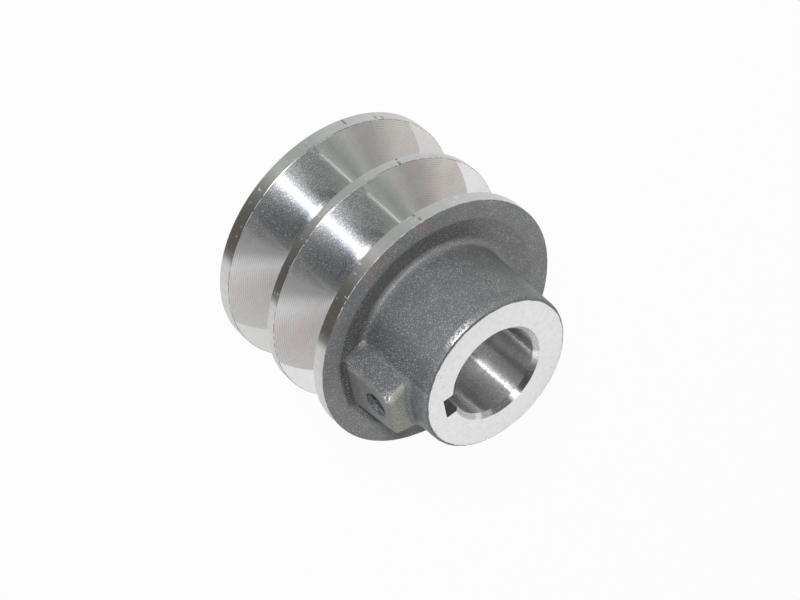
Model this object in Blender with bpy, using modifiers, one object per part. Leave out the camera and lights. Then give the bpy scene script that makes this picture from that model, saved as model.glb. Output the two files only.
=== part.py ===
"""Two-groove V-belt pulley with a long hub, one aluminium casting with machined grooves, face and bore.

The pulley stands on its flat rear face: +Z runs along the shaft towards the hub, and the origin is the
centre of the rear face. The set-screw boss and the keyway lie at +X. Units are metres.
"""

import math

import bmesh
import bpy

MM = 0.001

# Rim, for a belt of section A
groove_root_diameter = 32.0 * MM
groove_pitch = 15.0 * MM
groove_top_width = 13.05 * MM
groove_angle = math.radians(34)
groove_depth = 11.2 * MM
end_land_width = 2.9 * MM
land_edge_break = 0.25 * MM
groove_root_round = 1.0 * MM

# Hub
hub_projection = 18.15 * MM
hub_base_diameter = 34.2 * MM
hub_front_diameter = 33.4 * MM
hub_edge_round = 0.95 * MM
hub_base_fillet = 1.0 * MM
flange_ring_width = 4.2 * MM
dish_depth = 1.1 * MM
dish_edge_round = 4.0 * MM

# Bore and keyway
bore_diameter = 19.05 * MM
bore_chamfer = 0.9 * MM
keyway_width = 4.76 * MM
keyway_depth = 2.875 * MM

# Set-screw boss
boss_rise = 4.4 * MM
boss_face_draft = math.radians(3)
boss_width = 10.9 * MM
boss_side_draft = math.radians(2.2)
boss_side_flare = math.radians(14)
boss_length = 13.0 * MM
boss_edge_round = 1.3 * MM
boss_hub_fillet = 1.1 * MM
boss_hub_wrap = 2.4 * MM
boss_foot_fillet = 0.6 * MM
boss_front_fillet = 1.5 * MM
boss_sink = 1.2 * MM
screw_hole_diameter = 5.0 * MM
screw_hole_inset = 5.15 * MM

# Faceting
turn_steps = 80
arc_steps = 3
hole_sides = 24
cutter_overrun = 3.0 * MM
wall_overlap = 0.3 * MM
merge_distance = 0.001 * MM
sharp_edge_angle = math.radians(30)

# Sizes that follow from the ones above
outside_radius = groove_root_diameter / 2 + groove_depth
rim_width = 2 * end_land_width + groove_pitch + groove_top_width
hub_top = rim_width + hub_projection
dish_radius = outside_radius - flange_ring_width
bore_radius = bore_diameter / 2
keyway_reach = bore_radius + keyway_depth
boss_reach = hub_base_diameter / 2 + boss_rise
boss_front_height = rim_width + boss_length
screw_hole_height = boss_front_height - screw_hole_inset
groove_flank_run = groove_depth * math.tan(groove_angle / 2)
groove_centres = [
    end_land_width + groove_top_width / 2 + groove_pitch,
    end_land_width + groove_top_width / 2,
]


def clear_scene():
    for old in list(bpy.data.objects):
        bpy.data.objects.remove(old, do_unlink=True)


def new_collection(name, is_helper=False):
    collection = bpy.data.collections.new(name)
    bpy.context.scene.collection.children.link(collection)
    collection.hide_render = is_helper
    return collection


def cast_aluminium():
    material = bpy.data.materials.new("cast_aluminium")
    material.use_nodes = True
    shader = material.node_tree.nodes["Principled BSDF"]
    shader.inputs["Base Color"].default_value = (0.42, 0.43, 0.44, 1)
    shader.inputs["Roughness"].default_value = 0.45
    shader.inputs["Metallic"].default_value = 1.0
    return material


def rounded(corners, steps):
    """Outline points of a closed polygon of (x, y, radius) corners, each corner with a radius made an arc."""
    points = []
    for i, (x, y, radius) in enumerate(corners):
        if radius <= 0:
            points.append((x, y))
            continue
        before = corners[i - 1]
        after = corners[(i + 1) % len(corners)]
        angle_in = math.atan2(before[1] - y, before[0] - x)
        angle_out = math.atan2(after[1] - y, after[0] - x)
        turn = (angle_out - angle_in + math.pi) % (2 * math.pi) - math.pi
        to_centre = radius / math.sin(abs(turn) / 2)
        middle = angle_in + turn / 2
        centre_x = x + to_centre * math.cos(middle)
        centre_y = y + to_centre * math.sin(middle)
        sweep = math.copysign(math.pi - abs(turn), turn)
        for k in range(steps + 1):
            angle = middle + math.pi - sweep * (k / steps - 0.5)
            points.append((centre_x + radius * math.cos(angle), centre_y + radius * math.sin(angle)))
    return points


def hub_radius(height):
    """Radius of the hub's drafted side at a height above the rear face."""
    foot = rim_width - dish_depth
    share = (height - foot) / (hub_top - foot)
    return (hub_base_diameter + share * (hub_front_diameter - hub_base_diameter)) / 2


def turned_outline():
    """The pulley's half section as (radius, height), from the bore's front edge out and down."""
    corners = [
        (bore_radius, hub_top - bore_chamfer, 0),
        (bore_radius + bore_chamfer, hub_top, 0),
        (hub_front_diameter / 2, hub_top, hub_edge_round),
        (hub_base_diameter / 2, rim_width - dish_depth, hub_base_fillet),
        (dish_radius, rim_width, dish_edge_round),
        (outside_radius, rim_width, land_edge_break),
    ]
    root_radius = outside_radius - groove_depth
    half_top = groove_top_width / 2
    half_root = half_top - groove_flank_run
    for centre in groove_centres:
        corners += [
            (outside_radius, centre + half_top, land_edge_break),
            (root_radius, centre + half_root, groove_root_round),
            (root_radius, centre - half_root, groove_root_round),
            (outside_radius, centre - half_top, land_edge_break),
        ]
    corners += [
        (outside_radius, 0, land_edge_break),
        (bore_radius + bore_chamfer, 0, 0),
        (bore_radius, bore_chamfer, 0),
    ]
    return rounded(corners, arc_steps)


def turned_body(collection, material):
    outline = turned_outline()
    mesh = bpy.data.meshes.new("pulley")
    points = [(radius, 0, height) for radius, height in outline]
    edges = [(i, (i + 1) % len(points)) for i in range(len(points))]
    mesh.from_pydata(points, edges, [])
    body = bpy.data.objects.new("pulley", mesh)
    collection.objects.link(body)
    body.data.materials.append(material)
    turn = body.modifiers.new("turn", "SCREW")
    turn.axis = "Z"
    turn.angle = 2 * math.pi
    turn.steps = turn_steps
    turn.render_steps = turn_steps
    turn.use_merge_vertices = True
    turn.merge_threshold = 0.00001
    return body


def on_circle(start, lean, radius):
    """Where the line y = start - x * lean meets a circle about the shaft, on the +X side."""
    x = (start * lean + math.sqrt(radius ** 2 * (1 + lean ** 2) - start ** 2)) / (1 + lean ** 2)
    return x, start - x * lean


def boss_section(height, growth):
    """The boss's outline across the shaft at a height, grown outwards by the given amount."""
    hub = hub_radius(height)
    rise = height - rim_width
    reach = boss_reach - rise * math.tan(boss_face_draft) + growth
    half_face = boss_width / 2 - rise * math.tan(boss_side_draft) + growth
    lean = math.tan(boss_side_flare)
    root_x, root_y = on_circle(half_face + reach * lean, lean, hub)
    wrap = math.atan2(root_y, root_x) + boss_hub_wrap / hub
    end_x = (hub - wall_overlap) * math.cos(wrap)
    end_y = (hub - wall_overlap) * math.sin(wrap)
    corners = [
        (end_x, -end_y, 0),
        (root_x, -root_y, boss_hub_fillet),
        (reach, -half_face, boss_edge_round),
        (reach, -half_face / 2, 0),
        (reach, 0, 0),
        (reach, half_face / 2, 0),
        (reach, half_face, boss_edge_round),
        (root_x, root_y, boss_hub_fillet),
        (end_x, end_y, 0),
    ]
    return [(x, y, height) for x, y in rounded(corners, arc_steps)]


def dish_height(radius):
    """Height of the front flange's dished face at a distance from the axis."""
    inner = hub_base_diameter / 2
    outer = dish_radius
    share = min(max((outer - radius) / (outer - inner), 0), 1)
    return rim_width - share * dish_depth


def on_dish(section, rise):
    """The section's points moved to a height above the flange face below each of them."""
    return [(x, y, dish_height(math.hypot(x, y)) + rise) for x, y, _ in section]


def front_fillet():
    """Radius of the fillet where the boss's front meets the hub, no wider than the front's flat part."""
    edge = boss_reach - boss_length * math.tan(boss_face_draft) - boss_edge_round
    return min(boss_front_fillet, edge - hub_radius(boss_front_height))


def front_height(radius):
    """Height of the boss's front, with its fillet up to the hub, at a distance from the axis."""
    fillet = front_fillet()
    gap = min(max(radius - hub_radius(boss_front_height), 0), fillet)
    return boss_front_height + fillet - math.sqrt(fillet ** 2 - (fillet - gap) ** 2)


def crossed(section, radii):
    """The section with a point added wherever it crosses a circle of one of the radii about the shaft."""
    points = []
    for start, end in zip(section, section[1:]):
        points.append(start)
        first = math.hypot(start[0], start[1])
        last = math.hypot(end[0], end[1])
        for radius in sorted(radii, reverse=last < first):
            if min(first, last) < radius < max(first, last):
                share = (radius - first) / (last - first)
                x = start[0] + share * (end[0] - start[0])
                y = start[1] + share * (end[1] - start[1])
                scale = radius / math.hypot(x, y)
                points.append((x * scale, y * scale, start[2]))
    points.append(section[-1])
    return points


def below_front(section, drop):
    """The section's points moved to a depth below the boss's front at each of them."""
    return [(x, y, front_height(math.hypot(x, y)) - drop) for x, y, _ in section]


def drawn_in(section, radius):
    """The section's points on the boss's front, those outside a radius drawn in to it and spread along it."""
    outside = [math.hypot(x, y) > radius - merge_distance for x, y, _ in section]
    widest = max(math.atan2(abs(y), x) for (x, y, _), is_out in zip(section, outside) if is_out)
    spread = widest / math.atan2(boss_width / 2 - boss_edge_round, boss_reach)
    points = []
    for (x, y, _), is_out in zip(section, outside):
        if is_out:
            angle = min(max(math.atan2(y, x) * spread, -widest), widest)
            x = radius * math.cos(angle)
            y = radius * math.sin(angle)
        points.append((x, y, front_height(math.hypot(x, y))))
    return points


def boss_rings():
    """Sections from the flange up into the hub: foot fillet, drafted run, round edge, front fillet."""
    angles = [k / arc_steps * math.pi / 2 for k in range(arc_steps + 1)]
    hub = hub_radius(boss_front_height)
    radii = [hub + front_fillet() * (1 - math.sin(angle)) for angle in angles[:-1]]
    rings = [on_dish(crossed(boss_section(rim_width, boss_foot_fillet), radii), -boss_sink)]
    for angle in angles:
        section = crossed(boss_section(rim_width, boss_foot_fillet * (1 - math.sin(angle))), radii)
        rings.append(on_dish(section, boss_foot_fillet * (1 - math.cos(angle))))
    for angle in angles:
        drop = boss_edge_round * (1 - math.sin(angle))
        section = boss_section(boss_front_height - drop, -boss_edge_round * (1 - math.cos(angle)))
        section = crossed(section, radii)
        rings.append(below_front(section, drop))
    for radius in radii:
        rings.append(drawn_in(section, radius))
    rings.append(drawn_in(section, hub - wall_overlap))
    return rings


def loft(name, rings, collection):
    """A closed solid through rings of equal point count, listed from the bottom up."""
    mesh = bpy.data.meshes.new(name)
    shape = bmesh.new()
    rows = [[shape.verts.new(point) for point in ring] for ring in rings]
    for lower, upper in zip(rows, rows[1:]):
        for i in range(len(lower)):
            j = (i + 1) % len(lower)
            shape.faces.new((lower[i], lower[j], upper[j], upper[i]))
    shape.faces.new(list(reversed(rows[0])))
    shape.faces.new(rows[-1])
    bmesh.ops.remove_doubles(shape, verts=shape.verts, dist=merge_distance)
    bmesh.ops.recalc_face_normals(shape, faces=shape.faces)
    shape.to_mesh(mesh)
    shape.free()
    solid = bpy.data.objects.new(name, mesh)
    collection.objects.link(solid)
    solid.display_type = "WIRE"
    solid.hide_render = True
    return solid


def keyway_cutter(collection):
    length = hub_top + 2 * cutter_overrun
    bpy.ops.mesh.primitive_cube_add(size=1, location=(keyway_reach / 2, 0, hub_top / 2))
    cutter = bpy.context.object
    cutter.name = "keyway_cutter"
    cutter.scale = (keyway_reach, keyway_width, length)
    bpy.ops.object.transform_apply(location=False, rotation=False, scale=True)
    return adopt(cutter, collection)


def screw_hole_cutter(collection):
    start = (bore_radius + keyway_reach) / 2
    end = boss_reach + cutter_overrun
    bpy.ops.mesh.primitive_cylinder_add(
        vertices=hole_sides,
        radius=screw_hole_diameter / 2,
        depth=end - start,
        location=((start + end) / 2, 0, screw_hole_height),
        rotation=(0, math.pi / 2, 0),
    )
    cutter = bpy.context.object
    cutter.name = "screw_hole_cutter"
    return adopt(cutter, collection)


def adopt(helper, collection):
    """Moves a helper into the cutters' collection and hides it from renders."""
    for other in list(helper.users_collection):
        other.objects.unlink(helper)
    collection.objects.link(helper)
    helper.display_type = "WIRE"
    helper.hide_render = True
    return helper


def combine(body, other, operation, solver="EXACT"):
    step = body.modifiers.new(other.name, "BOOLEAN")
    step.object = other
    step.operation = operation
    step.solver = solver


def finish(body):
    """Makes the modifiers' result the body's own mesh, round faces smooth and edges over 30 degrees sharp."""
    graph = bpy.context.evaluated_depsgraph_get()
    mesh = bpy.data.meshes.new_from_object(body.evaluated_get(graph))
    body.modifiers.clear()
    body.data = mesh
    mesh.name = body.name
    mesh.shade_smooth()
    mesh.set_sharp_from_angle(angle=sharp_edge_angle)


def main():
    clear_scene()
    parts = new_collection("v_belt_pulley")
    cutters = new_collection("cutters", is_helper=True)
    body = turned_body(parts, cast_aluminium())
    boss = loft("boss", boss_rings(), cutters)
    combine(body, boss, "UNION", solver="MANIFOLD")
    combine(body, keyway_cutter(cutters), "DIFFERENCE")
    combine(body, screw_hole_cutter(cutters), "DIFFERENCE")
    finish(body)


main()
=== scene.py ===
import math

import bmesh
import bpy
import numpy as np
from mathutils import Matrix, Vector, noise


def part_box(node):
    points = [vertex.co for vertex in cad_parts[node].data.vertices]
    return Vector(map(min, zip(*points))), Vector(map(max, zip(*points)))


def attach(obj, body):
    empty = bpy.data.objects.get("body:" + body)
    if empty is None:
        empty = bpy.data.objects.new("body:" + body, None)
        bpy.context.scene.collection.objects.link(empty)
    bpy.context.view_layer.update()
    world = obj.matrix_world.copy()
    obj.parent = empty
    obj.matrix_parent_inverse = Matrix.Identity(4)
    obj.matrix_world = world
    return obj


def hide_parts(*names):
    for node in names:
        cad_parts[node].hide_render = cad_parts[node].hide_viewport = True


mm = 0.001
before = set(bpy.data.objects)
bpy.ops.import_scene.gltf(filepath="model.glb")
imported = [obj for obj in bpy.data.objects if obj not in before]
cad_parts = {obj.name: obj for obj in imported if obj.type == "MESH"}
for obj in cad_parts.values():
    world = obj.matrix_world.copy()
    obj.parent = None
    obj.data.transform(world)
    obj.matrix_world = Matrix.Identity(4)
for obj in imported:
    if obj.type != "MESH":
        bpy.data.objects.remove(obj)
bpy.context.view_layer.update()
pulleyLow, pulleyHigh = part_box("pulley")
rimRadius = pulleyHigh[0] / mm  # all sizes below are in millimetres, like this one
hubTop = pulleyHigh[2] / mm
print("frame loaded, rim radius", round(rimRadius, 2), "hub top", round(hubTop, 2))


class Wire:
    # an output socket that can be added, multiplied and compared like a number
    def __init__(self, graph, socket):
        self.graph = graph
        self.socket = socket

    def maths(self, operation, *others):
        return self.graph.node("ShaderNodeMath", {"operation": operation}, [self, *others])

    def __add__(self, other):
        return self.maths("ADD", other)

    def __sub__(self, other):
        return self.maths("SUBTRACT", other)

    def __mul__(self, other):
        return self.maths("MULTIPLY", other)

    def __truediv__(self, other):
        return self.maths("DIVIDE", other)

    def __pow__(self, other):
        return self.maths("POWER", other)

    def __rsub__(self, other):
        return self.graph.node("ShaderNodeMath", {"operation": "SUBTRACT"}, [other, self])

    def __rtruediv__(self, other):
        return self.graph.node("ShaderNodeMath", {"operation": "DIVIDE"}, [other, self])

    __radd__ = __add__
    __rmul__ = __mul__

    def ramp(self, low, high, start=0.0, end=1.0):  # smooth step from start to end between low and high
        settings = {"interpolation_type": "SMOOTHSTEP"}
        return self.graph.node("ShaderNodeMapRange", settings, [self, low, high, start, end])

    def fall(self, low, high):
        return self.ramp(low, high, 1.0, 0.0)

    def band(self, low, rise, fall, high):  # 1 from rise to fall, 0 below low and above high
        return self.ramp(low, rise) * self.fall(fall, high)

    def stops(self, places, low=-180.0, high=180.0):  # colours at places between low and high
        stops = [((place - low) / (high - low), colour) for place, colour in places]
        share = (self - low) * (1 / (high - low))
        return self.graph.node("ShaderNodeValToRGB", {"stops": stops}, [share])


class Graph:
    # the nodes of a material or of the world
    def __init__(self, tree):
        self.tree = tree

    def node(self, kind, settings=None, values=None, out=0):
        node = self.tree.nodes.new(kind)
        for name, value in (settings or {}).items():
            if name == "stops":
                elements = node.color_ramp.elements
                while len(elements) < len(value):
                    elements.new(0.5)
                for stop, (place, colour) in zip(elements, value):
                    stop.position = place
                    stop.color = colour
            else:
                setattr(node, name, value)
        pairs = values.items() if isinstance(values, dict) else enumerate(values or [])
        for key, value in pairs:
            self.feed(node.inputs[key], value)
        return Wire(self, node.outputs[out])

    def feed(self, socket, value):
        if isinstance(value, Wire):
            self.tree.links.new(value.socket, socket)
        elif value is not None:
            socket.default_value = value

    def axes(self, spot):
        owner = self.node("ShaderNodeSeparateXYZ", values=[spot]).socket.node
        return [Wire(self, owner.outputs[i]) for i in range(3)]

    def point(self, x, y, z):
        return self.node("ShaderNodeCombineXYZ", values=[x, y, z])

    def mix(self, share, first, second, blend="MIX"):
        settings = {"data_type": "RGBA", "blend_type": blend}
        return self.node("ShaderNodeMix", settings, {0: share, 6: first, 7: second}, out=2)


class Finish(Graph):
    # one material of the part, its texture coordinates in millimetres on the part
    def __init__(self, name):
        self.material = bpy.data.materials.new(name)
        self.material.use_nodes = True
        super().__init__(self.material.node_tree)
        self.shader = self.tree.nodes["Principled BSDF"]
        place = self.node("ShaderNodeTexCoord", out="Object")
        self.spot = self.node("ShaderNodeVectorMath", {"operation": "SCALE"}, {0: place, "Scale": 1 / mm})
        self.x, self.y, self.z = self.axes(self.spot)
        self.radius = (self.x * self.x + self.y * self.y) ** 0.5
        self.angle = self.y.maths("ARCTAN2", self.x) * math.degrees(1)

    def awayFrom(self, azimuth):  # degrees round the shaft between a spot and an azimuth
        way = math.radians(azimuth)
        share = (self.x * math.cos(way) + self.y * math.sin(way)) / self.radius
        return share.maths("ARCCOSINE") * math.degrees(1)

    def put(self, **values):  # sets or links sockets of the shader itself, baseColor for Base Color
        for key, value in values.items():
            name = "".join(" " + letter if letter.isupper() else letter for letter in key).title()
            self.feed(self.shader.inputs[name], value)

    def speckle(self, spot, scale, detail=2.0, roughness=0.5):
        values = {"Vector": spot, "Scale": scale, "Detail": detail, "Roughness": roughness}
        return self.node("ShaderNodeTexNoise", values=values)

    def bump(self, height, strength, distance, normal=None):
        values = {"Height": height, "Strength": strength, "Distance": distance * mm, "Normal": normal}
        return self.node("ShaderNodeBump", values=values)

    def rings(self, across, pitch, stretch=0.04):  # fine tool lines round the shaft, uneven along each ring
        spot = self.point(self.x * stretch, self.y * stretch, across / pitch)
        return self.speckle(spot, 1.0, 1.0, 0.5)


def rgb(red, green, blue):  # colour as read on a screen, 0 to 255
    def linear(level):
        level /= 255
        return level / 12.92 if level <= 0.04045 else ((level + 0.055) / 1.055) ** 2.4

    return (linear(red), linear(green), linear(blue), 1)


def grey(level, warmth=0):
    return rgb(level + warmth, level, level - warmth)


casting = {
    "hubBase": 17.1,
    "hubFront": 16.7,
    "hubEdgeRound": 0.95,
    "hubBaseFillet": 1.0,
    "faceAllowance": 0.08,  # what the turned hub face takes off the casting
    "dishRadius": 23.0,
    "dishDepth": 1.1,
    "dishBlend": 0.12,
    "skinDepth": 0.045,  # unevenness of the cast skin
    "skinGrain": 1.6,
    "voxel": 0.28,
    "drawSteps": 6,
}

boss = {
    "start": 2,  # inside the hub
    "reach": 21.5,
    "faceDraft": 3,
    "width": 10.9,
    "sideDraft": 2.2,
    "flare": 14,
    "front": 46.85,
    "edgeRound": 0.8,
    "frontRound": 1.4,
    "hubFillet": 0.7,
    "footFillet": 0.6,
    # where a rubbed corner of the boss gets its painted highlight
    "rubbedHighlightCorner": (20.6, -5.0, 45.9),
}

turning = {
    "groovePitch": 15.0,
    "grooveTop": 13.05,
    "grooveAngle": 34,
    "grooveDepth": 11.2,
    "endLand": 2.9,
    "landBreak": 0.2,
    "rootRound": 1.0,
    "boreRadius": 9.525,
    "boreChamfer": 0.9,
    "keyWidth": 4.76,
    "keyReach": 12.4,
    "turnSteps": 320,
    "arcSteps": 6,
}

tapped = {
    "radius": 3.0,
    "pitch": 1.0,
    "depth": 0.54,
    "crest": 0.125,  # flat at the crest and at the root, as a share of the pitch
    "height": 41.7,
    "start": 11.0,
    "end": 24.5,
    "aroundSteps": 48,
    "alongSteps": 10,
}

rimWidth = 2 * turning["endLand"] + turning["groovePitch"] + turning["grooveTop"]

# knocks on the lands: angle in degrees from the boss, lowest and highest point, depth
nicks = [(-106.2, 0.4, 1.9, 0.22), (-121, 1.5, 2.4, 0.18), (-124.6, 1.7, 2.7, 0.16),
         (-108.6, 15.7, 16.5, 0.25), (-108.2, 17.0, 18.1, 0.28), (-93, 30.8, 31.7, 0.22),
         (-93.6, 32.4, 33.4, 0.24)]
nickWidth = 0.9
sharpAngle = 32  # edges over this many degrees stay sharp


def hubRadius(height):
    foot = rimWidth - casting["dishDepth"]
    share = (height - foot) / (hubTop - foot)
    return casting["hubBase"] + share * (casting["hubFront"] - casting["hubBase"])


def within(fields, edgeRound):  # inside all of the fields, with rounded edges where they meet
    raised = [field + edgeRound for field in fields]
    outside = np.sqrt(sum(np.maximum(field, 0) ** 2 for field in raised))
    return outside + np.minimum(np.maximum.reduce(raised), 0) - edgeRound


def joined(first, second, fillet):  # inside either field, with a fillet in the corner between them
    hollow = np.hypot(np.maximum(fillet - first, 0), np.maximum(fillet - second, 0))
    return np.maximum(fillet, np.minimum(first, second)) - hollow


def castField(spots):
    # distance of each spot from the surface of the casting, less than zero inside it
    x, y, z = spots.T
    radius = np.hypot(x, y)
    hub = within([radius - hubRadius(z), z - hubTop - casting["faceAllowance"]], casting["hubEdgeRound"])
    slope = casting["dishDepth"] / (casting["dishRadius"] - casting["hubBase"])
    below = (casting["dishRadius"] - radius) * slope
    below = (below + np.hypot(below, casting["dishBlend"])) / 2
    flange = z - rimWidth + below
    rise = z - rimWidth
    face = x - boss["reach"] + rise * math.tan(math.radians(boss["faceDraft"]))
    lean = math.radians(boss["flare"])
    half = boss["width"] / 2 - rise * math.tan(math.radians(boss["sideDraft"]))
    side = (np.abs(y) - half - (boss["reach"] - x) * math.tan(lean)) * math.cos(lean)
    sides = within([face, side], boss["edgeRound"])
    lump = within([sides, z - boss["front"], boss["start"] - x], boss["frontRound"])
    onHub = joined(hub, lump, boss["hubFillet"])
    atFoot = joined(flange, lump, boss["footFillet"])
    return np.minimum.reduce([onHub, atFoot, joined(hub, flange, casting["hubBaseFillet"])])


def arcCorners(corners, steps):
    # the outline through (x, y, radius) corners, with an arc at each corner that has a radius
    points = []
    for i, (x, y, radius) in enumerate(corners):
        if radius <= 0:
            points.append((x, y))
            continue
        before, after = corners[i - 1], corners[(i + 1) % len(corners)]
        angleIn = math.atan2(before[1] - y, before[0] - x)
        angleOut = math.atan2(after[1] - y, after[0] - x)
        turn = (angleOut - angleIn + math.pi) % (2 * math.pi) - math.pi
        reach = radius / math.sin(abs(turn) / 2)
        middle = angleIn + turn / 2
        sweep = math.copysign(math.pi - abs(turn), turn)
        for k in range(steps + 1):
            angle = middle + math.pi - sweep * (k / steps - 0.5)
            points.append((x + reach * math.cos(middle) + radius * math.cos(angle),
                           y + reach * math.sin(middle) + radius * math.sin(angle)))
    return points


def turnedSection():
    # half section of all that the lathe leaves; over the cast skin it stands clear of the casting
    t = turning
    mouth = t["boreRadius"] + t["boreChamfer"]
    corners = [(t["boreRadius"], hubTop - t["boreChamfer"], 0), (mouth, hubTop, 0),
               (rimRadius - 2, hubTop, 0), (rimRadius, hubTop - 6, 0)]
    root = rimRadius - t["grooveDepth"]
    halfTop = t["grooveTop"] / 2
    halfRoot = halfTop - t["grooveDepth"] * math.tan(math.radians(t["grooveAngle"] / 2))
    first = t["endLand"] + halfTop
    for centre in (first + t["groovePitch"], first):
        corners += [
            (rimRadius, centre + halfTop, t["landBreak"]),
            (root, centre + halfRoot, t["rootRound"]),
            (root, centre - halfRoot, t["rootRound"]),
            (rimRadius, centre - halfTop, t["landBreak"]),
        ]
    corners += [(rimRadius, 0, t["landBreak"]), (mouth, 0, 0), (t["boreRadius"], t["boreChamfer"], 0)]
    return arcCorners(corners, t["arcSteps"])


def turned(points, steps):
    shape = bmesh.new()
    rings = []
    for k in range(steps):
        angle = 2 * math.pi * k / steps
        rings.append([shape.verts.new((x * math.cos(angle), x * math.sin(angle), z)) for x, z in points])
    for k in range(steps):
        here, there = rings[k], rings[(k + 1) % steps]
        for i in range(len(points)):
            j = (i + 1) % len(points)
            shape.faces.new((here[i], there[i], there[j], here[j]))
    bmesh.ops.recalc_face_normals(shape, faces=shape.faces)
    return shape


def lofted(rings):
    shape = bmesh.new()
    rows = [[shape.verts.new(point) for point in ring] for ring in rings]
    for lower, upper in zip(rows, rows[1:]):
        for i in range(len(lower)):
            j = (i + 1) % len(lower)
            shape.faces.new((lower[i], lower[j], upper[j], upper[i]))
    shape.faces.new(rows[0][::-1])
    shape.faces.new(rows[-1])
    bmesh.ops.recalc_face_normals(shape, faces=shape.faces)
    return shape


def boxShape(low, high):
    shape = bmesh.new()
    middle = Vector(low).lerp(Vector(high), 0.5)
    size = Vector(high) - Vector(low)
    place = Matrix.Translation(middle) @ Matrix.Diagonal((*size, 1))
    bmesh.ops.create_cube(shape, size=1, matrix=place)
    return shape


def drumShape(radius, low, high, sides=96):
    shape = bmesh.new()
    bmesh.ops.create_cone(shape, cap_ends=True, segments=sides, radius1=radius, radius2=radius,
                          depth=high - low, matrix=Matrix.Translation((0, 0, (low + high) / 2)))
    return shape


def threadShape():
    # the space that a tap leaves: a cylinder whose wall follows a single-start thread along +X
    t = tapped
    rings = []
    count = int((t["end"] - t["start"]) / t["pitch"] * t["alongSteps"])
    for i in range(count + 1):
        along = t["start"] + i * t["pitch"] / t["alongSteps"]
        ring = []
        for k in range(t["aroundSteps"]):
            turn = k / t["aroundSteps"]
            phase = (along / t["pitch"] + turn) % 1
            flank = min(max((abs(phase - 0.5) * 2 - t["crest"]) / (1 - 2 * t["crest"]), 0), 1)
            radius = t["radius"] - t["depth"] * flank
            angle = 2 * math.pi * turn
            ring.append((along, radius * math.cos(angle), t["height"] + radius * math.sin(angle)))
        rings.append(ring)
    return lofted(rings)


def nickShape():
    shape = bmesh.new()
    for angle, low, high, depth in nicks:
        middle = Vector((rimRadius + nickWidth / math.sqrt(2) - depth, 0, (low + high) / 2))
        place = Matrix.Rotation(math.radians(angle), 4, "Z") @ Matrix.Translation(middle)
        onEdge = Matrix.Rotation(math.radians(45), 4, "Z")  # the bar cuts with one of its edges
        place = place @ onEdge @ Matrix.Diagonal((nickWidth, nickWidth, high - low, 1))
        bmesh.ops.create_cube(shape, size=1, matrix=place)
    return shape


def asObject(name, shape):
    mesh = bpy.data.meshes.new(name)
    for vertex in shape.verts:
        vertex.co *= mm
    shape.to_mesh(mesh)
    shape.free()
    made = bpy.data.objects.new(name, mesh)
    bpy.context.scene.collection.objects.link(made)
    return made


def settle(body):  # makes the result of the modifiers the body's own mesh
    mesh = bpy.data.meshes.new_from_object(body.evaluated_get(bpy.context.evaluated_depsgraph_get()))
    body.modifiers.clear()
    body.data = mesh


def combined(body, *steps):
    for other, operation in steps:
        step = body.modifiers.new(other.name, "BOOLEAN")
        step.object = other
        step.operation = operation
        step.solver = "MANIFOLD"
    settle(body)
    for other, _ in steps:
        bpy.data.objects.remove(other)


def buildCasting():
    # an even mesh round rough blanks, drawn on to the casting's surface and made slightly uneven
    c = casting
    bottom = rimWidth - 3  # the turned barrel is joined on above this
    body = asObject("casting", drumShape(rimRadius + 1, bottom, rimWidth - 0.4))
    half = boss["width"] / 2 + 1.5
    hub = drumShape((c["hubBase"] + c["hubFront"]) / 2, bottom + 1, hubTop)
    lump = boxShape((boss["start"] + 1, -half, bottom + 1.5), (boss["reach"], half, boss["front"]))
    combined(body, (asObject("hubBlank", hub), "UNION"), (asObject("bossBlank", lump), "UNION"))
    step = body.modifiers.new("even", "REMESH")
    step.mode = "VOXEL"
    step.voxel_size = c["voxel"] * mm
    settle(body)
    count = len(body.data.vertices)
    spots = np.empty(count * 3)
    body.data.vertices.foreach_get("co", spots)
    spots = spots.reshape(-1, 3) / mm
    skin = (spots[:, 2] > rimWidth - 2) & (np.hypot(spots[:, 0], spots[:, 1]) < rimRadius + 0.9)
    moved = spots[skin]
    probe = 0.01
    for _ in range(c["drawSteps"]):
        field = castField(moved)
        slopes = np.stack([castField(moved + step) - field for step in np.eye(3) * probe]) / probe
        moved -= (field / np.maximum((slopes ** 2).sum(0), 0.25) * slopes).T
    unit = slopes / np.maximum(np.sqrt((slopes ** 2).sum(0)), 0.1)
    swell = np.array([noise.fractal(Vector(spot) / c["skinGrain"], 0.6, 2.0, 3) for spot in moved])
    moved += (unit * swell * c["skinDepth"]).T
    spots[skin] = moved
    body.data.vertices.foreach_set("co", (spots * mm).ravel())
    body.data.update()
    print("casting drawn,", count, "points")
    return body


def buildPulley():
    t = turning
    body = buildCasting()
    half = t["keyWidth"] / 2
    combined(body,
             (asObject("barrel", drumShape(rimRadius + 1.5, -1, rimWidth - 2.4)), "UNION"),
             (asObject("turning", turned(turnedSection(), t["turnSteps"])), "INTERSECT"),
             (asObject("keyway", boxShape((0, -half, -3), (t["keyReach"], half, hubTop + 3))), "DIFFERENCE"),
             (asObject("tappedHole", threadShape()), "DIFFERENCE"),
             (asObject("nicks", nickShape()), "DIFFERENCE"))
    body.name = "pulleyCasting"
    print("pulley cut,", len(body.data.polygons), "faces")
    return body


streakTurn = 0.25  # turns the streak of the turned metal across its tool lines

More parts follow.
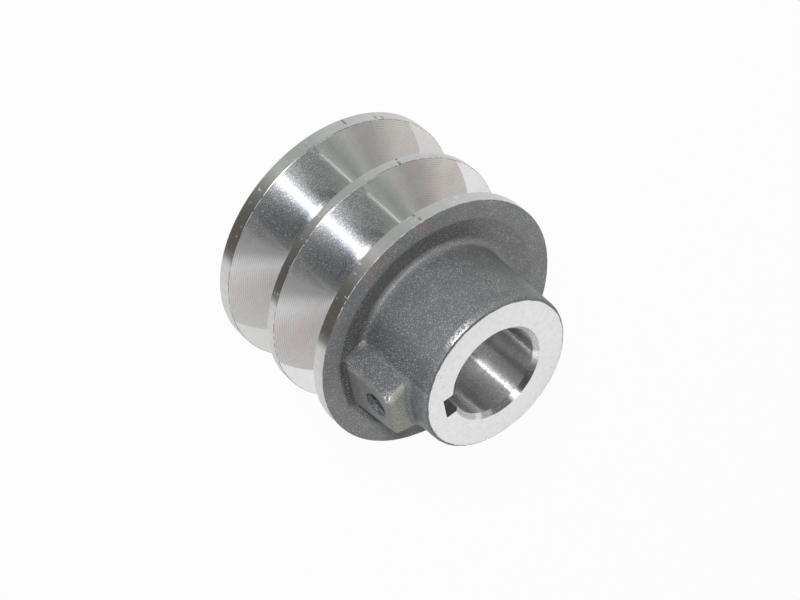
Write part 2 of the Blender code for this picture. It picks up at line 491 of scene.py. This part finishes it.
castFinish = {
    "dark": 101,
    "pale": 127,
    "metallic": 0.05,
    "roughness": 0.42,
    "grain": 3.2,
    "grainDepth": 0.13,
    # scale and level of the painted glints
    "paintedGlints": 4.5,
    "paintedGlintsLevel": 235,
    "litSide": -70,  # where the surface faces the lamp, in degrees round the shaft from the boss
    # the level of the flange ring is painted light; the darkening of the dish below is painted shade
    "ringLightLevel": 140,
    "dish": (18.1, 19.0, 22.8, 23.4),  # radii between which the dish is darker
    "dishShadeLevel": 84,
    # painted shade on the hub next to the boss and on the side of the boss, and a painted shadow round its
    # foot
    "beside": (-52, -34, -25, -22),  # degrees between which the hub is darker, next to the boss
    "besideShadeLevel": 88,
    "sideShade": (0.85, 0.85, 0.85, 1),
    "footShadowLevel": 60,
    # lighter colours painted on the outer face and the front of the boss, as painted light
    "litFacesDark": (132, 132, 127),
    "litFacesPale": (166, 165, 158),
    "warmTint": (1.0, 1.01, 0.92, 1),
    "rust": (150, 130, 129),
    # a painted dark line of shade along the edge of the hub face, and the painted highlight where the metal
    # is rubbed
    "rimShadeLevel": 62,
    "rubbedHighlightLevel": 235,
}


def castSkin():
    f = Finish("castSkin")
    c = castFinish
    cloud = f.speckle(f.spot, 0.3, 2.0)
    grain = f.speckle(f.spot, c["grain"], 4.0, 0.7)
    paintedGlints = f.speckle(f.spot, c["paintedGlints"], 1.0).ramp(0.56, 0.7) * cloud.ramp(0.3, 0.7, 0.5, 1.0)
    away = f.awayFrom(c["litSide"])
    offHub = f.radius.ramp(18, 19)
    onHub = f.radius.fall(18, 19)
    # the ring of the flange, painted lighter than the hub as painted light, and the dish inside it, darker
    # with painted shade
    ring = f.z.fall(rimWidth - 0.4, rimWidth + 1.5)
    shade = f.mix((grain * 0.8 + cloud * 0.2).ramp(0.35, 0.65), grey(c["dark"], -3), grey(c["pale"], -3))
    shade = f.mix(ring * 0.45, shade, grey(c["ringLightLevel"], 1))
    dish = f.radius.band(*c["dish"]) * ring
    shade = f.mix(dish * away.ramp(42, 75, 0.85, 0.35), shade, grey(c["dishShadeLevel"]))
    # painted shade on the hub next to the boss and on the side of the boss, and a painted shadow round the
    # foot of its outer face
    shade = f.mix(f.angle.band(*c["beside"]) * onHub * 0.8, shade, grey(c["besideShadeLevel"], -2))
    side = f.y.fall(-5.0, -4.6) * f.x.ramp(15.5, 17) * f.radius.fall(22.6, 23.4)
    shade = f.mix(side * f.angle.ramp(-50, -35), shade, c["sideShade"], "MULTIPLY")
    foot = f.x.band(20.8, 21.6, 22.2, 23.4) * (f.y * f.y).fall(32, 46)
    shade = f.mix(foot * f.z.ramp(rimWidth + 0.3, rimWidth + 1.1, 0.85, 0.0), shade, grey(c["footShadowLevel"]))
    # the outer face and the front of the boss are painted lighter as painted light, and the far side of the
    # flange is rusty in places
    litFaces = (f.x.ramp(20.3, 20.9) * 0.5).maths("MAXIMUM", f.z.ramp(45.4, 46.4) * f.radius.ramp(17.4, 18.2))
    litFacesColour = f.mix(grain.ramp(0.35, 0.65), rgb(*c["litFacesDark"]), rgb(*c["litFacesPale"]))
    shade = f.mix(litFaces * f.z.ramp(rimWidth + 0.2, rimWidth + 1) * 0.9, shade, litFacesColour)
    shade = f.mix(f.angle.band(-175, -150, -125, -95) * onHub, shade, c["warmTint"], "MULTIPLY")
    rust = f.speckle(f.spot, 0.22, 1.0).ramp(0.5, 0.7) * f.radius.ramp(23, 26)
    shade = f.mix(rust * away.ramp(30, 65, 0.75, 0.15), shade, rgb(*c["rust"]))
    # painted glints over the grain
    shade = f.mix(paintedGlints * 0.55, shade, grey(c["paintedGlintsLevel"]))
    # a painted dark line of shade along the edge of the turned hub face; rubbed bright metal in places along
    # that edge and at a corner of the boss, with a painted highlight
    rim = f.z.ramp(hubTop - 0.34, hubTop - 0.2)
    shade = f.mix(rim * away.ramp(14, 34, 0.6, 0.05), shade, grey(c["rimShadeLevel"]))
    rubbedHighlight = f.z.ramp(hubTop - 1.8, hubTop - 1.0) * (1 - rim) * away.ramp(6, 15, 1.0, 0.08)
    rubbedHighlight = rubbedHighlight * f.speckle(f.spot, 2.2, 3.0, 0.7).ramp(0.42, 0.56)
    corner = f.node("ShaderNodeVectorMath", {"operation": "DISTANCE"}, [f.spot, boss["rubbedHighlightCorner"]], out=1)
    rubbedHighlight = rubbedHighlight + corner.ramp(0.7, 1.7, 0.8, 0.0) * f.speckle(f.spot, 1.6, 2.0).ramp(0.45, 0.6)
    matt = dish * f.x.ramp(14, 16) * 0.4  # no shine in the corner at the foot of the boss
    f.put(baseColor=f.mix(rubbedHighlight, shade, grey(c["rubbedHighlightLevel"])),
          metallic=rubbedHighlight * 0.9 + c["metallic"], roughness=matt + c["roughness"],
          normal=f.bump(grain, 0.8, c["grainDepth"]))
    return f.material


landFinish = {
    "roughness": 0.3,
    "anisotropic": 0.7,
    "linePitch": 0.16,
    "lineLevel": 110,
    "scuffLevel": 238,
    "edge": 0.06,  # width of the broken edge that shows as a line
    # the broken edges get a painted highlight between these degrees and a painted dark line elsewhere
    "litEdge": (-102, -95, -46, -40),  # degrees between which the broken edges mirror the lamp
    "litEdgeHighlightLevel": 250,
    "edgeReflectionLevel": 120,
}

# red, green and blue of the turned lands round the shaft, by angle in degrees from the boss: the metal's
# colour with painted reflections, the dark band among them
landReflections = [(-180, 206, 206, 206), (-140, 205, 206, 204), (-115, 200, 201, 202), (-98, 187, 190, 187),
              (-88, 170, 175, 170), (-80, 163, 167, 162), (-70, 172, 173, 168), (-62, 130, 130, 126),
              (-54, 96, 95, 90), (-46, 87, 84, 78), (-33, 86, 82, 76), (-29, 118, 117, 113),
              (-25, 205, 205, 204), (-10, 212, 212, 212), (5, 204, 204, 204), (15, 190, 190, 190),
              (70, 200, 200, 200), (96, 130, 129, 127), (112, 128, 127, 125), (128, 198, 198, 198),
              (180, 206, 206, 206)]


def turnedLand():
    f = Finish("turnedLand")
    c = landFinish
    shade = f.angle.stops([(angle, rgb(*colour)) for angle, *colour in landReflections])
    lines = f.rings(f.z, c["linePitch"])
    streak = f.speckle(f.point(f.x * 0.8, f.y * 0.8, f.z * 0.1), 1.0, 3.0)
    shade = f.mix((lines * 0.6 + streak * 0.4).ramp(0.3, 0.7, 0.0, 0.25), shade, grey(c["lineLevel"]))
    scuffs = f.speckle(f.point(f.x, f.y, f.z * 0.5), 1.3, 4.0, 0.7).ramp(0.62, 0.68)
    shade = f.mix(scuffs * 0.5, shade, grey(c["scuffLevel"]))
    # the broken edges: a painted highlight where they mirror the lamp, a painted dark line elsewhere
    broken = f.speckle(f.spot, 0.9, 4.0, 0.8).ramp(0.44, 0.54)
    edge = f.radius.fall(rimRadius - c["edge"], rimRadius - c["edge"] / 3)
    edge = edge.maths("MAXIMUM", f.z.ramp(rimWidth - 0.16, rimWidth - 0.08))
    edgeShade = f.mix(f.angle.band(*c["litEdge"]), grey(c["edgeReflectionLevel"]), grey(c["litEdgeHighlightLevel"]))
    f.put(baseColor=f.mix(edge * broken, shade, edgeShade), metallic=1.0, roughness=c["roughness"],
          anisotropic=c["anisotropic"], anisotropicRotation=streakTurn, normal=f.bump(lines, 0.25, 0.02))
    return f.material


flankFinish = {
    "roughness": 0.4,
    "anisotropic": 1.0,
    "linePitch": 0.42,
    "lineDepth": 0.012,
    "lineLevel": 90,
    "grain": 3.6,
    "grainDepth": 0.045,
    # scale and level of the painted glints
    "paintedGlints": 4.2,
    "paintedGlintsLevel": 255,
    "middle": -67,  # degrees round the shaft at the middle of the streak
    "chord": 9.7,  # distance from the shaft of the straight borders beside the streak
    "chordRadius": 24,  # where the angles of flankReflections hold for those borders
    # a thin painted reflection line, and its level towards the rim
    "thinReflectionLine": (-91.7, -90.8, -90.3, -89.5),
    "thinReflectionOuter": 196,
    # level of the white painted reflection
    "whiteReflectionLevel": 254,
    "blushTint": (1.0, 0.93, 0.94, 1),
    "betweenGrooves": (16, 19),  # heights between which what is seen in one groove passes to the other
}

# red, green and blue of the turned flanks round the shaft, by angle in degrees from the boss: the metal's
# colour with painted reflections and the painted highlight of the streak
flankReflections = [(-180, 208, 206, 203), (-134, 219, 215, 210), (-126, 209, 204, 199), (-119, 196, 196, 192),
               (-112, 206, 204, 200), (-104.5, 236, 239, 233), (-98.5, 214, 220, 212), (-96.5, 211, 217, 209),
               (-92.5, 235, 240, 232), (-90.5, 255, 255, 252), (-89, 216, 220, 217), (-86.5, 197, 203, 200),
               (-84.5, 207, 213, 210), (-80.5, 196, 202, 200), (-78, 210, 214, 213), (-74, 168, 172, 177),
               (-68.5, 208, 209, 211), (-65, 151, 155, 163), (-60.5, 176, 180, 183), (-54, 175, 179, 182),
               (-48.5, 178, 182, 183), (-46.3, 206, 206, 207), (-44.5, 182, 183, 184), (-40, 204, 204, 205),
               (-34, 196, 196, 196), (-32.5, 202, 202, 202), (-27.5, 236, 236, 236), (-24, 240, 240, 240),
               (-12, 219, 216, 214), (4, 214, 212, 209), (40, 214, 212, 209), (180, 208, 206, 203)]


def turnedFlank():
    f = Finish("turnedFlank")
    c = flankFinish
    # the borders between bright and dull painted reflections run straight across the flank, not along its
    # radii
    slope = (c["chord"] / f.radius).maths("ARCSINE") * math.degrees(1)
    slope = slope - math.degrees(math.asin(c["chord"] / c["chordRadius"]))
    lean = ((f.angle - c["middle"]) / 20).maths("MAXIMUM", -1).maths("MINIMUM", 1)
    slanted = f.angle - lean * f.angle.fall(-37, -33) * slope
    shade = slanted.stops([(angle, rgb(*colour)) for angle, *colour in flankReflections])
    away = f.awayFrom(c["middle"])
    # the far ends get a white painted reflection outside a straight border, more so in the groove next to the
    # hub
    whiteReflection = (away + f.radius * 4).ramp(179.2, 180.8) * away.fall(105, 125)
    shade = f.mix(whiteReflection * f.z.ramp(*c["betweenGrooves"], 0.5, 0.96), shade, grey(c["whiteReflectionLevel"]))
    blush = f.speckle(f.spot, 0.2, 1.0).ramp(0.46, 0.62) * f.z.ramp(*c["betweenGrooves"], 0.3, 1.0)
    shade = f.mix(blush * away.ramp(25, 50), shade, c["blushTint"], "MULTIPLY")
    # a thin bright line of painted reflection, fading towards the rim
    thinReflection = slanted.band(*c["thinReflectionLine"])
    outer = f.radius.ramp(24.6, 25.8)  # the thin line fades towards the rim
    shade = f.mix(thinReflection * outer * 0.8, shade, grey(c["thinReflectionOuter"]))
    wander = f.speckle(f.spot, 0.25, 2.0)
    turns = ((f.radius + wander * 0.5) * (2 * math.pi / c["linePitch"])).maths("SINE")
    lines = turns * f.speckle(f.spot, 0.7, 1.0).ramp(0.35, 0.7, 0.2, 1.0)
    # the grain and its painted glints show where the metal mirrors the lamp, but less in the middle of the
    # streak
    bright = away.ramp(18, 32, 1.0, 0.15)
    grain = f.speckle(f.spot, c["grain"], 2.0, 0.7)
    grainDim = bright * grain.ramp(0.4, 0.62, 0.45, 0.0) * away.ramp(1.5, 5, 0.55, 1.0)
    lineDim = lines.ramp(-0.5, 1.0, 0.0, 0.24) * (1 - whiteReflection * 0.4) * away.ramp(1.5, 5, 0.4, 1.0)
    paintedGlints = bright * f.speckle(f.spot, c["paintedGlints"], 1.0).ramp(0.6, 0.68) * 0.9
    shade = f.mix(paintedGlints, shade, grey(c["paintedGlintsLevel"]))
    f.put(baseColor=f.mix(lineDim + grainDim, shade, grey(c["lineLevel"])),
          metallic=1 - thinReflection * (1 - outer) * 0.5, roughness=c["roughness"],
          anisotropic=c["anisotropic"], anisotropicRotation=streakTurn,
          normal=f.bump(lines, 0.5, c["lineDepth"], f.bump(grain * bright, 0.6, c["grainDepth"])))
    return f.material


backFlankFinish = {"level": 244, "lineLevel": 90, "roughness": 0.4, "anisotropic": 0.8}


def backFlank():  # the flanks that face away from the hub
    f = Finish("backFlank")
    c = backFlankFinish
    lines = f.rings(f.radius, flankFinish["linePitch"])
    f.put(baseColor=f.mix(lines.ramp(0.3, 0.7, 0.0, 0.1), grey(c["level"]), grey(c["lineLevel"])),
          metallic=1.0, roughness=c["roughness"], anisotropic=c["anisotropic"],
          anisotropicRotation=streakTurn, normal=f.bump(lines, 0.2, 0.02))
    return f.material


faceFinish = {
    "level": 232,
    "dull": (184, 188, 184),
    "dirtLevel": 120,
    "scratchLevel": 150,
    "linePitch": 0.12,
    "roughness": 0.42,
    "anisotropic": 0.3,
}


def turnedFace():
    f = Finish("turnedFace")
    c = faceFinish
    lines = f.rings(f.radius, c["linePitch"])
    mottle = f.speckle(f.spot, 0.9, 5.0, 0.7)
    long = f.speckle(f.point(f.x * 1.5 + f.y * 0.9, f.y * 0.12 - f.x * 0.2, 0.0), 1.0, 3.0)
    scratch = long.ramp(0.66, 0.7)
    dirt = f.speckle(f.spot, 1.4, 3.0, 0.6).ramp(0.66, 0.72)
    dull = lines.ramp(0.3, 0.7, 0.0, 0.06) + mottle.ramp(0.35, 0.7, 0.0, 0.2)
    shade = f.mix(dull, grey(c["level"]), rgb(*c["dull"]))
    shade = f.mix(dirt * 0.45, shade, grey(c["dirtLevel"]))
    f.put(baseColor=f.mix(scratch * 0.15, shade, grey(c["scratchLevel"])), metallic=1.0,
          roughness=c["roughness"], anisotropic=c["anisotropic"], anisotropicRotation=streakTurn,
          normal=f.bump(lines, 0.1, 0.02))
    return f.material


boreFinish = {
    # painted shade on the walls of the keyway
    "keywayShadeLevel": 150,
    "lineLevel": 90,
    "speckLevel": 250,
    "linePitch": 0.3,
    "ragged": 2.0,  # degrees by which the borders of bright and dull wander on the wall
    "roughness": 0.32,
    "anisotropic": 1.0,
}

# levels of the bored wall and of its chamfer round the shaft, by angle in degrees from the boss: painted
# reflections and painted highlights
boreReflections = [(-180, 208), (-165, 250), (20, 250), (32, 208), (50, 215), (52, 248), (54, 248), (56, 228),
              (76, 234), (86, 216), (90, 232), (104, 225), (107, 168), (108.6, 240), (111, 240), (112.4, 158),
              (116, 200), (135, 250), (150, 236), (162, 208), (164, 245), (166, 245), (168, 198), (180, 208)]
chamferReflections = [(-180, 205), (-170, 215), (25, 215), (50, 205), (55, 245), (60, 245), (63, 190), (70, 230),
                 (74, 230), (78, 150), (100, 150), (104, 245), (111, 245), (114, 120), (148, 130), (156, 190),
                 (161, 250), (167, 250), (170, 205), (180, 205)]


def boredWall():
    f = Finish("boredWall")
    c = boreFinish
    wander = f.speckle(f.point(f.x, f.y, f.z * 2), 1.1, 3.0, 0.7).ramp(0.3, 0.7, -c["ragged"], c["ragged"])
    wall = (f.angle + wander).stops([(angle, grey(level)) for angle, level in boreReflections])
    chamfer = f.angle.stops([(angle, grey(level)) for angle, level in chamferReflections])
    chamferStart = hubTop - turning["boreChamfer"]
    shade = f.mix(f.z.ramp(chamferStart - 0.04, chamferStart + 0.02), wall, chamfer)
    keySide = turning["keyWidth"] / 2
    # painted shade on the walls of the keyway
    keyway = f.x.ramp(9.3, 9.6) * (f.y * f.y).fall((keySide + 0.01) ** 2, (keySide + 0.03) ** 2)
    shade = f.mix(keyway, shade, grey(c["keywayShadeLevel"], 3))
    lines = f.rings(f.z, c["linePitch"])
    grain = f.speckle(f.spot, 3.6, 2.0, 0.7)
    dull = lines.ramp(0.3, 0.7, 0.0, 0.08) + grain.ramp(0.48, 0.62, 0.0, 0.32)
    shade = f.mix(dull, shade, grey(c["lineLevel"]))
    specks = f.speckle(f.point(f.x, f.y, f.z * 0.7), 2.6, 2.0).ramp(0.64, 0.7)
    f.put(baseColor=f.mix(specks * 0.6, shade, grey(c["speckLevel"])), metallic=1.0,
          roughness=c["roughness"], anisotropic=c["anisotropic"], anisotropicRotation=streakTurn,
          normal=f.bump(grain, 0.6, 0.02))
    return f.material


threadFinish = {"dark": 66, "pale": 160, "metallic": 0.3, "roughness": 0.5}


def tappedThread():
    f = Finish("tappedThread")
    c = threadFinish
    grain = f.speckle(f.spot, 4.0, 3.0, 0.7)
    f.put(baseColor=f.mix(grain.ramp(0.35, 0.65), grey(c["dark"], -3), grey(c["pale"], -3)),
          metallic=c["metallic"], roughness=c["roughness"], normal=f.bump(grain, 0.6, 0.1))
    return f.material


finishes = [castSkin, turnedLand, turnedFace, boredWall, tappedThread, turnedFlank, backFlank]


def finishOf(centre, normal):
    # the finish that a face takes, by where it lies and how it faces
    x, y, z = centre / mm
    radius = math.hypot(x, y)
    t = turning
    near = 0.02
    if x > t["keyReach"] - 0.5 and math.hypot(y, z - tapped["height"]) < tapped["radius"] + near / 2:
        return tappedThread
    if radius < t["boreRadius"] + t["boreChamfer"] + near and abs(normal.z) < 0.9:
        return boredWall
    if 0 < x < t["keyReach"] + near and abs(y) < t["keyWidth"] / 2 + near / 2 and abs(normal.z) < 0.5:
        return boredWall
    if z < near or (z > hubTop - near / 4 and normal.z > 0.999):
        return turnedFace
    knocked = abs(x * normal.y - y * normal.x) > 0.3 * radius  # a land's own faces point straight outwards
    if z < rimWidth and radius > rimRadius - 0.5 and knocked:
        return castSkin
    onLand = radius > rimRadius - t["landBreak"] * 1.1
    if z < rimWidth + 1 and onLand and (z < rimWidth - 1 or normal.z < 0.8):
        return turnedLand
    if z < rimWidth - t["endLand"] + 0.3:
        return backFlank if normal.z < -0.5 else turnedFlank
    return castSkin


body = buildPulley()
body.data.materials.clear()
for finish in finishes:
    body.data.materials.append(finish())
for face in body.data.polygons:
    face.material_index = finishes.index(finishOf(face.center, face.normal))
body.data.shade_smooth()
body.data.set_sharp_from_angle(angle=math.radians(sharpAngle))
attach(body, "root")
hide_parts("pulley")
print("finishes given")


studio = {
    "azimuth": -66.64,
    "elevation": 36.75,
    "distance": 601.8,
    "aim": (1.33, 0.58, 23.61),
    "roll": -130.94,
    "lens": 139.99,
    "sensor": 36,
    "floorSize": 6.0,  # lengths from here on are in metres
    "floorGap": 0.0001,
    "floorGlow": 0.97,
    "floorColour": 0.5,
    "lampAzimuth": -71,
    "lampElevation": 32,
    "lampDistance": 0.6,
    "lampAim": (0, 0, 0.03),
    "lampSize": 0.08,
    "lampPower": 2.8,
    "skyLight": 0.12,
    "backLight": 0.5,
    "zenithLevel": 0.8,
}

# level of the surroundings by azimuth in degrees, as the metal sees them
surroundings = [(-180, 1.0), (-172, 0.95), (-160, 0.45), (-52, 0.42), (-44, 0.1), (-12, 0.1), (-2, 1.0),
                (180, 1.0)]


def wayTo(azimuth, elevation):
    azimuth, elevation = math.radians(azimuth), math.radians(elevation)
    return Vector((math.cos(azimuth) * math.cos(elevation), math.sin(azimuth) * math.cos(elevation),
                   math.sin(elevation)))


def setCamera():
    back = wayTo(studio["azimuth"], studio["elevation"])
    levelRight = Vector((0, 0, 1)).cross(back).normalized()
    levelUp = back.cross(levelRight)
    roll = math.radians(studio["roll"])
    up = math.cos(roll) * levelUp + math.sin(roll) * levelRight
    turn = Matrix((up.cross(back), up, back)).transposed().to_4x4()
    data = bpy.data.cameras.new("camera")
    data.lens = studio["lens"]
    data.sensor_width = studio["sensor"]
    data.clip_start = 0.01
    camera = bpy.data.objects.new("camera", data)
    bpy.context.scene.collection.objects.link(camera)
    camera.matrix_world = Matrix.Translation((Vector(studio["aim"]) + back * studio["distance"]) * mm) @ turn
    bpy.context.scene.camera = camera


def setFloor():
    shape = bmesh.new()
    bmesh.ops.create_grid(shape, x_segments=1, y_segments=1, size=studio["floorSize"] / 2 / mm)
    floor = asObject("floor", shape)
    floor.location.z = -studio["floorGap"]
    f = Finish("floorPaper")
    f.put(baseColor=(*[studio["floorColour"]] * 3, 1), roughness=0.9)
    light = f.node("ShaderNodeLightPath")
    seen = Wire(f, light.socket.node.outputs["Is Camera Ray"])
    mirrored = Wire(f, light.socket.node.outputs["Is Glossy Ray"])
    glow = f.node("ShaderNodeEmission", values={"Color": (1, 1, 1, 1), "Strength": 1.0})
    out = f.tree.nodes["Material Output"]
    shaded = Wire(f, f.shader.outputs[0])
    share = seen.maths("MAXIMUM", mirrored) * studio["floorGlow"]
    f.feed(out.inputs["Surface"], f.node("ShaderNodeMixShader", values=[share, shaded, glow]))
    floor.data.materials.append(f.material)


def setLamp():
    data = bpy.data.lights.new("lamp", "AREA")
    data.shape = "DISK"
    data.size = studio["lampSize"]
    data.energy = studio["lampPower"]
    lamp = bpy.data.objects.new("lamp", data)
    bpy.context.scene.collection.objects.link(lamp)
    way = wayTo(studio["lampAzimuth"], studio["lampElevation"])
    lamp.location = way * studio["lampDistance"] + Vector(studio["lampAim"])
    lamp.rotation_euler = way.to_track_quat("Z", "Y").to_euler()


def setWorld():
    world = bpy.data.worlds.new("studioWorld")
    bpy.context.scene.world = world
    world.use_nodes = True
    g = Graph(world.node_tree)
    x, y, z = g.axes(g.node("ShaderNodeTexCoord", out="Generated"))
    azimuth = y.maths("ARCTAN2", x) * math.degrees(1)
    around = azimuth.stops([(place, (level, level, level, 1)) for place, level in surroundings])
    sky = g.mix(z.ramp(0.75, 0.97, 0.0, 0.8), around, (*[studio["zenithLevel"]] * 3, 1))
    light = g.node("ShaderNodeLightPath").socket.node
    seen = Wire(g, light.outputs["Is Camera Ray"])
    mirrored = Wire(g, light.outputs["Is Glossy Ray"])
    background = g.tree.nodes["Background"]
    g.feed(background.inputs["Color"], g.mix(seen, sky, (1, 1, 1, 1)))
    soft = (y * 0.9 - x * 0.4).ramp(-0.2, 0.9, studio["skyLight"], studio["backLight"])
    plain = seen.maths("MAXIMUM", mirrored)
    g.feed(background.inputs["Strength"], plain + soft * (1 - plain))


setCamera()
setFloor()
setWorld()
setLamp()
bpy.context.scene.view_settings.view_transform = "Standard"
print("studio set")
